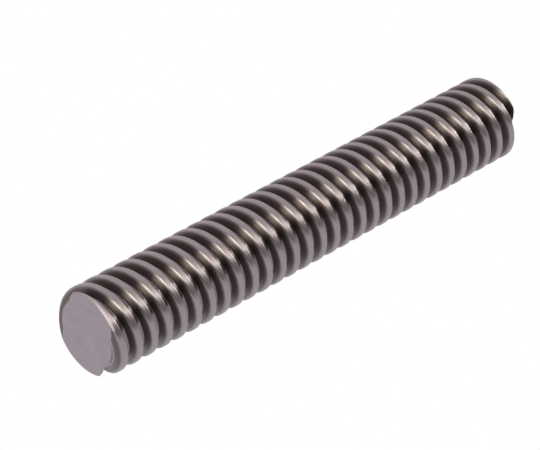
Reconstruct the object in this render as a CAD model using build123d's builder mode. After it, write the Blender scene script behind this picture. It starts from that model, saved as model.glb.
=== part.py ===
"""Two-start trapezoidal lead screw, right hand, cut square at both ends.

The screw lies along X. The origin is on its axis, in the end face nearest the viewer,
and the other end is at +X. Millimetres throughout.
"""
from build123d import *
import math
import os

# Thread, a metric trapezoidal one with 30 degrees between its flanks
major_diameter = 24.0
pitch = 5.0
starts = 2
flank_angle = 15.0
root_clearance = 0.25

# Bar. The middle of the first whole ridge lies this far from the near face, measured
# along the top of the screw.
screw_length = 150.0
end_break = 0.5
first_ridge_at = 4.54

# Worked out from the sizes above
lead = starts * pitch
major_radius = major_diameter / 2
pitch_radius = major_radius - pitch / 4
minor_radius = major_radius - pitch / 2 - root_clearance
flank_slope = math.tan(math.radians(flank_angle))


def ridge_half_width(radius):
    """Half a ridge's width along the axis, between its flanks, at a radius."""
    return pitch / 4 - (radius - pitch_radius) * flank_slope


# Ridge of one start, a piece of a few turns that begins and ends straight above the
# axis. Its foot is buried in the core.
turns_in_piece = 8
piece_run = turns_in_piece * lead
foot_radius = minor_radius - pitch / 16
foot_half = ridge_half_width(foot_radius)
crest_half = ridge_half_width(major_radius)

with BuildPart() as ridge:
    with BuildLine() as ridge_helix:
        Helix(pitch=lead, height=piece_run, radius=pitch_radius, direction=(1, 0, 0))
    with BuildSketch(Plane(origin=(0, 0, 0), x_dir=(1, 0, 0), z_dir=(0, -1, 0))):
        with BuildLine():
            Polyline(
                (-foot_half, foot_radius),
                (foot_half, foot_radius),
                (crest_half, major_radius),
                (-crest_half, major_radius),
                close=True,
            )
        make_face()
    sweep(path=ridge_helix.wires()[0], is_frenet=True)

# Screw: the core, with ridge pieces laid end to end for each start, runs past both
# ends of the bar. It is then faced square and the outer edge of each end is broken.
pieces_in_ridge = math.ceil((screw_length + lead) / piece_run) + 1
ridge_places = [
    (first_ridge_at + start * pitch + (piece - 1) * piece_run, 0, 0)
    for start in range(starts)
    for piece in range(pieces_in_ridge)
]
end_clear = lead

with BuildPart() as lead_screw:
    with BuildSketch(Plane(origin=(-piece_run, 0, 0), x_dir=(0, 0, 1), z_dir=(1, 0, 0))):
        Circle(minor_radius)
    extrude(amount=(pieces_in_ridge + 1) * piece_run)
    with Locations(*ridge_places):
        add(ridge.part)
    with BuildSketch(Plane.XY):
        with BuildLine():
            Polyline(
                (0, 0),
                (0, major_radius - end_break),
                (end_break + end_clear, major_radius + end_clear),
                (screw_length - end_break - end_clear, major_radius + end_clear),
                (screw_length, major_radius - end_break),
                (screw_length, 0),
                close=True,
            )
        make_face()
    revolve(axis=Axis.X, mode=Mode.INTERSECT)

lead_screw.part.label = "lead_screw"

os.makedirs("parts", exist_ok=True)
export_step(lead_screw.part, "parts/lead_screw.step")
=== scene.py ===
"""A two-start rolled lead screw lying on a white sheet, seen from above its near end."""
import math

import bmesh
import bpy
import numpy as np
from mathutils import Euler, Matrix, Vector


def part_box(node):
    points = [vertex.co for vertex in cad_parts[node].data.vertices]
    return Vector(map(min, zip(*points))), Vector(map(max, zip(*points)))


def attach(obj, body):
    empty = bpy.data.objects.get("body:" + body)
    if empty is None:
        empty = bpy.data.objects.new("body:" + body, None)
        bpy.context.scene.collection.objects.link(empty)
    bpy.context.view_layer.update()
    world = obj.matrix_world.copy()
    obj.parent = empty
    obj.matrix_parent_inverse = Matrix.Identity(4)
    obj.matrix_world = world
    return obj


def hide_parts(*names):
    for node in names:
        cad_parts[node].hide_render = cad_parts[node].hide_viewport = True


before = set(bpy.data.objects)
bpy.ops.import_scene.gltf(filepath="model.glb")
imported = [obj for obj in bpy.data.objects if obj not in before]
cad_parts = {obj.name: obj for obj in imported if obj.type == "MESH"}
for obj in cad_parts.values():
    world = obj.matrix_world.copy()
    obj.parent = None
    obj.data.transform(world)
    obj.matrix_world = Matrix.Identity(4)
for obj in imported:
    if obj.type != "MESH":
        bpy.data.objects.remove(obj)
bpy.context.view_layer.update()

# The screw is a round steel bar. Dies roll two ridges into it side by side, right hand,
# with slightly rounded crests and small fillets at their feet. It is sold by the metre,
# so both ends are sawn square, and the sharp outer edge there is broken.
low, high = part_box("lead_screw")
screw_length = high.x - low.x
crest_radius = (high.z - low.z) / 2
pitch = 0.005
starts = 2
lead = starts * pitch
root_clearance = 0.00025
root_radius = crest_radius - pitch / 2 - root_clearance
flank_angle = math.radians(15)
crest_round = 0.00045
crest_round_points = 9
root_round = 0.0003
root_round_points = 5
first_ridge_at = 0.00454
end_break = 0.0005
steps_per_turn = 96
turns_past_each_end = 2
sharp_edge = math.radians(38)

# How close counts: to the saw's cut, to the end's plane, to the broken edge, and how
# nearly a face looks straight along the bar.
on_cut = 1e-8
in_plane = 1e-7
on_break = 0.00003
along_bar = 0.999


def corner_arc(corner, before, after, radius, points):
    """Points of a round of that radius between the lines before-corner-after."""
    corner, before, after = (np.array(p, float) for p in (corner, before, after))
    into = (before - corner) / np.linalg.norm(before - corner)
    out = (after - corner) / np.linalg.norm(after - corner)
    half = math.acos(float(into @ out)) / 2
    reach = radius / math.tan(half)
    middle = corner + (into + out) / np.linalg.norm(into + out) * radius / math.sin(half)
    start = corner + into * reach - middle
    end = corner + out * reach - middle
    sweep = math.pi - 2 * half
    found = []
    for i in range(points):
        t = i / (points - 1)
        found.append(
            middle
            + (math.sin((1 - t) * sweep) * start + math.sin(t * sweep) * end)
            / math.sin(sweep)
        )
    return found


def ridge_profile():
    """(distance along the axis from the ridge's middle, radius), over one pitch."""
    slope = math.tan(flank_angle)
    pitch_radius = crest_radius - pitch / 4
    crest_half = pitch / 4 - (crest_radius - pitch_radius) * slope
    foot_half = pitch / 4 - (root_radius - pitch_radius) * slope
    crest_middle = (0, crest_radius)
    crest_corner = (crest_half, crest_radius)
    foot_corner = (foot_half, root_radius)
    root_middle = (pitch / 2, root_radius)
    half = [np.array(crest_middle), np.array((crest_half / 4, crest_radius))]
    half += corner_arc(crest_corner, crest_middle, foot_corner, crest_round, crest_round_points)
    half += corner_arc(foot_corner, crest_corner, root_middle, root_round, root_round_points)
    half += [np.array(root_middle)]
    mirrored = [np.array((-x, r)) for x, r in half[-2:0:-1]]
    return np.array(mirrored + half)


def threaded_bar():
    """The thread's surface, wound on past both ends of the bar."""
    one = ridge_profile()
    profile = np.concatenate([one + (k * pitch, 0) for k in range(starts)])
    across = len(profile)
    turns = math.ceil(screw_length / lead) + 2 * turns_past_each_end
    along = turns * steps_per_turn
    angle = np.arange(along + steps_per_turn + 1) * 2 * math.pi / steps_per_turn
    x = first_ridge_at - turns_past_each_end * lead + lead * angle / (2 * math.pi)
    vertices = np.empty((len(angle), across, 3))
    vertices[:, :, 0] = x[:, None] + profile[None, :, 0]
    vertices[:, :, 1] = -np.sin(angle)[:, None] * profile[None, :, 1]
    vertices[:, :, 2] = np.cos(angle)[:, None] * profile[None, :, 1]
    index = np.arange(len(angle) * across).reshape(len(angle), across)
    here, there = index[:along], index[1 : along + 1]
    next_turn = index[steps_per_turn : along + steps_per_turn, :1]
    after_next = index[steps_per_turn + 1 : along + steps_per_turn + 1, :1]
    here_right = np.concatenate([here[:, 1:], next_turn], axis=1)
    there_right = np.concatenate([there[:, 1:], after_next], axis=1)
    quads = np.stack([here, here_right, there_right, there], axis=-1).reshape(-1, 4)
    mesh = bpy.data.meshes.new("screw_thread")
    mesh.from_pydata(vertices.reshape(-1, 3).tolist(), [], quads.tolist())
    return mesh


def slice_across(work, x, outward, take_off):
    """Cuts the surface square at x, and takes off what is outward of it if asked."""
    bmesh.ops.bisect_plane(
        work,
        geom=work.verts[:] + work.edges[:] + work.faces[:],
        dist=on_cut,
        plane_co=(x, 0, 0),
        plane_no=(outward, 0, 0),
        clear_outer=take_off,
    )


def saw_ends(mesh):
    """Cuts the wound surface square at both ends, breaks the edge and closes it."""
    work = bmesh.new()
    work.from_mesh(mesh)
    for x, outward in ((low.x, -1), (high.x, 1)):
        slice_across(work, x, outward, True)
        slice_across(work, x - outward * end_break, outward, False)
    loose = [v for v in work.verts if not v.link_faces]
    bmesh.ops.delete(work, geom=loose, context="VERTS")
    for vertex in work.verts:
        from_end = min(vertex.co.x - low.x, high.x - vertex.co.x)
        allowed = crest_radius - end_break + max(from_end, 0)
        radius = math.hypot(vertex.co.y, vertex.co.z)
        if from_end < end_break and radius > allowed:
            vertex.co.y *= allowed / radius
            vertex.co.z *= allowed / radius
    for x in (low.x, high.x):
        rim = [
            e
            for e in work.edges
            if e.is_boundary and all(abs(v.co.x - x) < in_plane for v in e.verts)
        ]
        bmesh.ops.holes_fill(work, edges=rim, sides=0)
    bmesh.ops.recalc_face_normals(work, faces=work.faces[:])
    for face in work.faces:
        is_end = abs(face.normal.x) > along_bar and len(face.verts) > 4
        middle = face.calc_center_median()
        from_end = min(middle.x - low.x, high.x - middle.x)
        broken = crest_radius - end_break + from_end - on_break
        is_break = from_end < end_break and math.hypot(middle.y, middle.z) > broken
        face.material_index = 1 if is_end or is_break else 0
        face.smooth = not is_end
    work.to_mesh(mesh)
    work.free()
    mesh.set_sharp_from_angle(angle=sharp_edge)


def set_stops(ramp, stops):
    """Fills a colour ramp with pairs of a position and a colour, from low to high."""
    elements = ramp.color_ramp.elements
    elements[0].position, elements[0].color = stops[0]
    elements[1].position, elements[1].color = stops[-1]
    for position, colour in stops[1:-1]:
        elements.new(position).color = colour


# Height on the thread, 0 at the root and 1 at the crest, and the steel's colour there. The
# flanks between root and crest are painted darker: painted shade of the grooves.
steel_and_painted_shade_by_height = (
    (0.06, (0.315, 0.275, 0.29, 1)),
    (0.17, (0.15, 0.121, 0.119, 1)),
    (0.66, (0.13, 0.104, 0.102, 1)),
    (0.92, (0.337, 0.292, 0.31, 1)),
)
painted_shade_wander = 0.06
flank_roughness = 0.31
crest_roughness = 0.42


def rolled_steel():
    """Bare steel on the crests and down in the root, with painted shade darkening the flanks."""
    material = bpy.data.materials.new("rolled_steel")
    material.use_nodes = True
    nodes, links = material.node_tree.nodes, material.node_tree.links
    shader = nodes["Principled BSDF"]
    shader.inputs["Metallic"].default_value = 1.0
    place = nodes.new("ShaderNodeTexCoord")
    split = nodes.new("ShaderNodeSeparateXYZ")
    links.new(place.outputs["Object"], split.inputs[0])

    def calc(operation, *values):
        node = nodes.new("ShaderNodeMath")
        node.operation = operation
        for socket, value in zip(node.inputs, values):
            if isinstance(value, (int, float)):
                socket.default_value = value
            else:
                links.new(value, socket)
        return node.outputs[0]

    y2 = calc("MULTIPLY", split.outputs["Y"], split.outputs["Y"])
    z2 = calc("MULTIPLY", split.outputs["Z"], split.outputs["Z"])
    radius = calc("SQRT", calc("ADD", y2, z2))
    depth = crest_radius - root_radius
    height = calc("DIVIDE", calc("SUBTRACT", radius, root_radius), depth)

    # The speckle of the rolled skin lets the edge of the painted shade wander up and down.
    speckle = nodes.new("ShaderNodeTexNoise")
    speckle.inputs["Scale"].default_value = 900.0
    speckle.inputs["Detail"].default_value = 4.0
    links.new(place.outputs["Object"], speckle.inputs["Vector"])
    wander = calc("MULTIPLY_ADD", speckle.outputs["Fac"], 2 * painted_shade_wander, -painted_shade_wander)
    level = calc("ADD", height, wander)
    # Painted shade: this ramp gives the flanks a darker base colour by height, in place of the
    # shade in the grooves.
    painted_shade_ramp = nodes.new("ShaderNodeValToRGB")
    set_stops(painted_shade_ramp, steel_and_painted_shade_by_height)
    links.new(level, painted_shade_ramp.inputs["Fac"])
    links.new(painted_shade_ramp.outputs["Color"], shader.inputs["Base Color"])
    wear = nodes.new("ShaderNodeMapRange")
    wear.inputs["From Min"].default_value = 0.2
    wear.inputs["From Max"].default_value = 1.0
    wear.inputs["To Min"].default_value = flank_roughness
    wear.inputs["To Max"].default_value = crest_roughness
    links.new(level, wear.inputs["Value"])
    links.new(wear.outputs["Result"], shader.inputs["Roughness"])

    # The dies leave fine lines round the bar, so a reflection spreads along it.
    lines = nodes.new("ShaderNodeTangent")
    lines.direction_type = "RADIAL"
    lines.axis = "X"
    links.new(lines.outputs["Tangent"], shader.inputs["Tangent"])
    shader.inputs["Anisotropic"].default_value = 0.95
    shader.inputs["Anisotropic Rotation"].default_value = 0.25
    bump = nodes.new("ShaderNodeBump")
    bump.inputs["Strength"].default_value = 0.12
    bump.inputs["Distance"].default_value = 0.00005
    links.new(speckle.outputs["Fac"], bump.inputs["Height"])
    links.new(bump.outputs["Normal"], shader.inputs["Normal"])
    return material


mottle_on_end = (
    (0.3, (0.342, 0.304, 0.325, 1)),
    (0.7, (0.388, 0.33, 0.402, 1)),
)


def sawn_end():
    """The sawn face: grey and matt, with soft lilac mottles and hardly any saw marks."""
    material = bpy.data.materials.new("sawn_end")
    material.use_nodes = True
    nodes, links = material.node_tree.nodes, material.node_tree.links
    shader = nodes["Principled BSDF"]
    shader.inputs["Metallic"].default_value = 1.0
    shader.inputs["Roughness"].default_value = 0.6
    place = nodes.new("ShaderNodeTexCoord")
    grain = nodes.new("ShaderNodeTexNoise")
    grain.inputs["Scale"].default_value = 500.0
    grain.inputs["Detail"].default_value = 5.0
    stretch = nodes.new("ShaderNodeMapping")
    stretch.inputs["Rotation"].default_value = (math.radians(35), 0, 0)
    stretch.inputs["Scale"].default_value = (1, 0.4, 0.8)
    links.new(place.outputs["Object"], stretch.inputs["Vector"])
    links.new(stretch.outputs["Vector"], grain.inputs["Vector"])
    mottle = nodes.new("ShaderNodeValToRGB")
    set_stops(mottle, mottle_on_end)
    links.new(grain.outputs["Fac"], mottle.inputs["Fac"])
    links.new(mottle.outputs["Color"], shader.inputs["Base Color"])
    bump = nodes.new("ShaderNodeBump")
    bump.inputs["Strength"].default_value = 0.1
    bump.inputs["Distance"].default_value = 0.00004
    links.new(grain.outputs["Fac"], bump.inputs["Height"])
    links.new(bump.outputs["Normal"], shader.inputs["Normal"])
    return material


screw_mesh = threaded_bar()
saw_ends(screw_mesh)
screw_mesh.materials.append(rolled_steel())
screw_mesh.materials.append(sawn_end())
screw = bpy.data.objects.new("rolled_screw", screw_mesh)
bpy.context.scene.collection.objects.link(screw)
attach(screw, "root")
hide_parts("lead_screw")

# The table under the screw is a matt white sheet, larger than the picture. It is no part
# of the screw. The camera and the reflections see it as plain white.
table_size = 4.0
table_middle = (0.1, 0.1)
bpy.ops.mesh.primitive_plane_add(size=table_size, location=(*table_middle, low.z))
table = bpy.context.object
table.name = "white_table"


def white_sheet():
    """Matt white, with an even glow of strength 1 for camera and glossy rays alone."""
    material = bpy.data.materials.new("white_sheet")
    material.use_nodes = True
    nodes, links = material.node_tree.nodes, material.node_tree.links
    sheet = nodes["Principled BSDF"]
    sheet.inputs["Base Color"].default_value = (0.95, 0.92, 0.96, 1)
    sheet.inputs["Roughness"].default_value = 0.9
    ray = nodes.new("ShaderNodeLightPath")
    glow = nodes.new("ShaderNodeEmission")
    glow.inputs["Strength"].default_value = 1.0
    seen = nodes.new("ShaderNodeMath")
    seen.operation = "ADD"
    seen.use_clamp = True
    links.new(ray.outputs["Is Camera Ray"], seen.inputs[0])
    links.new(ray.outputs["Is Glossy Ray"], seen.inputs[1])
    mix = nodes.new("ShaderNodeMixShader")
    links.new(seen.outputs[0], mix.inputs["Fac"])
    links.new(sheet.outputs["BSDF"], mix.inputs[1])
    links.new(glow.outputs["Emission"], mix.inputs[2])
    links.new(mix.outputs["Shader"], nodes["Material Output"].inputs["Surface"])
    return material


table.data.materials.append(white_sheet())

# The room is plain and pale. It is bright overhead and beyond the screw, less so at the
# sides, with one darker band between, and dim behind the viewer.
toward_window = (0.45, 0.6, 0.5)
room_by_share_of_window = (
    (0.08, (0.06, 0.05, 0.045, 1)),
    (0.34, (0.13, 0.115, 0.11, 1)),
    (0.42, (0.55, 0.5, 0.48, 1)),
    (0.5, (0.7, 0.65, 0.63, 1)),
    (0.56, (0.55, 0.51, 0.5, 1)),
    (0.61, (0.22, 0.2, 0.21, 1)),
    (0.67, (0.5, 0.47, 0.48, 1)),
    (0.78, (1.15, 1.1, 1.1, 1)),
    (0.9, (1.15, 1.1, 1.12, 1)),
    (0.97, (0.92, 0.89, 0.91, 1)),
)
world = bpy.data.worlds.new("room")
bpy.context.scene.world = world
world.use_nodes = True
nodes, links = world.node_tree.nodes, world.node_tree.links
direction = nodes.new("ShaderNodeTexCoord")
along_window = nodes.new("ShaderNodeVectorMath")
along_window.operation = "DOT_PRODUCT"
along_window.inputs[1].default_value = toward_window
links.new(direction.outputs["Generated"], along_window.inputs[0])
share = nodes.new("ShaderNodeMath")
share.operation = "MULTIPLY_ADD"
share.inputs[1].default_value = 0.5
share.inputs[2].default_value = 0.5
links.new(along_window.outputs["Value"], share.inputs[0])
room = nodes.new("ShaderNodeValToRGB")
set_stops(room, room_by_share_of_window)
links.new(share.outputs[0], room.inputs["Fac"])
background = nodes["Background"]
background.inputs["Strength"].default_value = 1.0
links.new(room.outputs["Color"], background.inputs["Color"])

# Three soft lamps stand round the screw. The left one draws the bright line along the
# upper part of the ridges, and the other two light the stretch just below that line.
lamp_distance = 0.9


def soft_lamp(name, azimuth, elevation, width, height, radiance, colour):
    """A rectangular lamp in one direction from the screw's middle, facing it."""
    data = bpy.data.lights.new(name, "AREA")
    data.shape = "RECTANGLE"
    data.size, data.size_y = width, height
    data.energy = radiance * math.pi * width * height
    data.color = colour
    lamp = bpy.data.objects.new(name, data)
    up = math.radians(elevation)
    turn = math.radians(azimuth)
    toward = Vector((math.cos(up) * math.cos(turn), math.cos(up) * math.sin(turn), math.sin(up)))
    lamp.location = Vector((screw_length / 2, 0, 0)) + toward * lamp_distance
    lamp.rotation_euler = toward.to_track_quat("Z", "Y").to_euler()
    bpy.context.scene.collection.objects.link(lamp)


soft_lamp("left", -160, 28.5, 0.33, 0.33, 17.0, (1.0, 0.98, 0.8))
soft_lamp("far", -5, 8, 0.24, 0.2, 22.0, (1.0, 1.0, 0.92))
soft_lamp("above", -98, 43, 0.22, 0.18, 9.5, (1.0, 0.98, 0.86))

# The camera looks down along the screw from its near end, from the height and the
# distance that the picture was taken at, through a long lens.
camera_place = (-0.31625, -0.38614, 0.35851)
camera_pitch_down = math.radians(33.271)
camera_heading = math.radians(45.465)
camera_data = bpy.data.cameras.new("camera")
camera_data.sensor_width = 36.0
camera_data.lens = 164.9
camera_data.clip_start = 0.01
camera_data.clip_end = 20.0
camera = bpy.data.objects.new("camera", camera_data)
camera.location = camera_place
camera.rotation_euler = Euler(
    (math.pi / 2 - camera_pitch_down, 0, camera_heading - math.pi / 2)
)
bpy.context.scene.collection.objects.link(camera)
bpy.context.scene.camera = camera
bpy.context.scene.view_settings.view_transform = "Standard"
